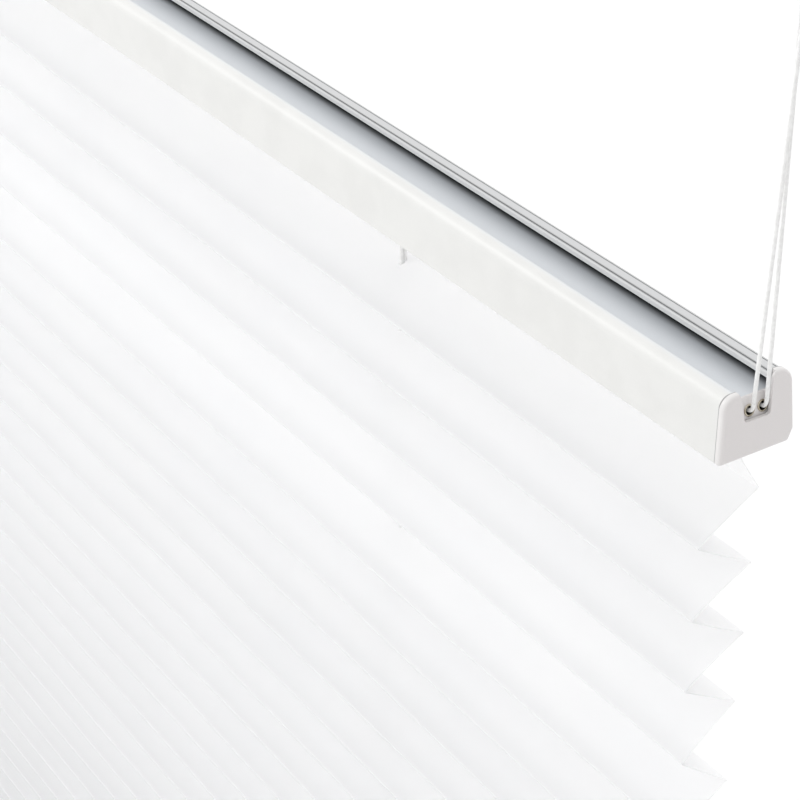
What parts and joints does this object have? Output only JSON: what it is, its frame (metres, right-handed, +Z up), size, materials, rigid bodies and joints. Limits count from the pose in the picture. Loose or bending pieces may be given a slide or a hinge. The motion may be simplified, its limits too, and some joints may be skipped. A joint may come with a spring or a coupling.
{
  "type": "pleated blind",
  "caption": "White translucent pleated blind held on thin cords between sash brackets, with movable channel rails above and below the cloth.",
  "frame": {"origin": "centre of the four bracket screw holes, on the face of the sash that the brackets are screwed to", "axes": "+X along the rails to the right as seen from the room, -Y into the room, +Z up"},
  "size_m": [0.6326, 0.0262, 0.896],
  "materials": {
    "fabric": "thin translucent pleated polyester",
    "rail_coating": "satin white powder coat on aluminium",
    "cap_plastic": "smooth white moulding",
    "plate_metal": "white lacquered sheet",
    "eyelet_metal": "nickelled",
    "guide_plastic": "plain white moulding",
    "cord": "fine braided polyester",
    "bracket_plastic": "smooth white moulding",
    "spring_steel": "bright zinc"
  },
  "bodies": {
    "root": {"top_left_bracket": "bracket_plastic", "top_left_shoe": "bracket_plastic", "top_left_knot": "cord", "top_right_bracket": "bracket_plastic", "top_right_shoe": "bracket_plastic", "top_right_knot": "cord", "bottom_left_bracket": "bracket_plastic", "bottom_left_shoe": "bracket_plastic", "bottom_left_knot": "cord", "bottom_right_bracket": "bracket_plastic", "bottom_right_shoe": "bracket_plastic", "bottom_right_knot": "cord", "bottom_left_spring": "spring_steel", "bottom_left_washer": "spring_steel", "left_upper_cords": "cord", "left_lower_cords": "cord", "bottom_right_spring": "spring_steel", "bottom_right_washer": "spring_steel", "right_upper_cords": "cord", "right_lower_cords": "cord"},
    "top_rail": {"top_rail_profile": "rail_coating", "top_rail_front_lip": "rail_coating", "top_rail_back_lip": "rail_coating", "top_fabric_strip": "guide_plastic", "top_rail_left_cap": "cap_plastic", "top_rail_left_eyelet_plate": "plate_metal", "top_rail_left_eyelets": "eyelet_metal", "top_rail_left_cord_guide": "guide_plastic", "top_rail_left_cords": "cord", "top_rail_right_cap": "cap_plastic", "top_rail_right_eyelet_plate": "plate_metal", "top_rail_right_eyelets": "eyelet_metal", "top_rail_right_cord_guide": "guide_plastic", "top_rail_right_cords": "cord", "pleated_fabric": "fabric", "left_fabric_cords": "cord", "right_fabric_cords": "cord"},
    "bottom_rail": {"bottom_rail_profile": "rail_coating", "bottom_rail_front_lip": "rail_coating", "bottom_rail_back_lip": "rail_coating", "bottom_fabric_strip": "guide_plastic", "bottom_rail_left_cap": "cap_plastic", "bottom_rail_left_eyelet_plate": "plate_metal", "bottom_rail_left_eyelets": "eyelet_metal", "bottom_rail_left_cord_guide": "guide_plastic", "bottom_rail_left_cords": "cord", "bottom_rail_right_cap": "cap_plastic", "bottom_rail_right_eyelet_plate": "plate_metal", "bottom_rail_right_eyelets": "eyelet_metal", "bottom_rail_right_cord_guide": "guide_plastic", "bottom_rail_right_cords": "cord"}
  },
  "joints": [
    {"name": "top_rail_slide", "type": "slide", "parent": "root", "child": "top_rail", "axis": [0, 0, 1], "range_m": [-0.08, 0.075], "deforming": ["left_upper_cords", "right_upper_cords", "left_lower_cords", "right_lower_cords"]},
    {"name": "bottom_rail_slide", "type": "slide", "parent": "top_rail", "child": "bottom_rail", "axis": [0, 0, 1], "range_m": [0, 0.5], "deforming": ["pleated_fabric", "left_fabric_cords", "right_fabric_cords"]}
  ]
}
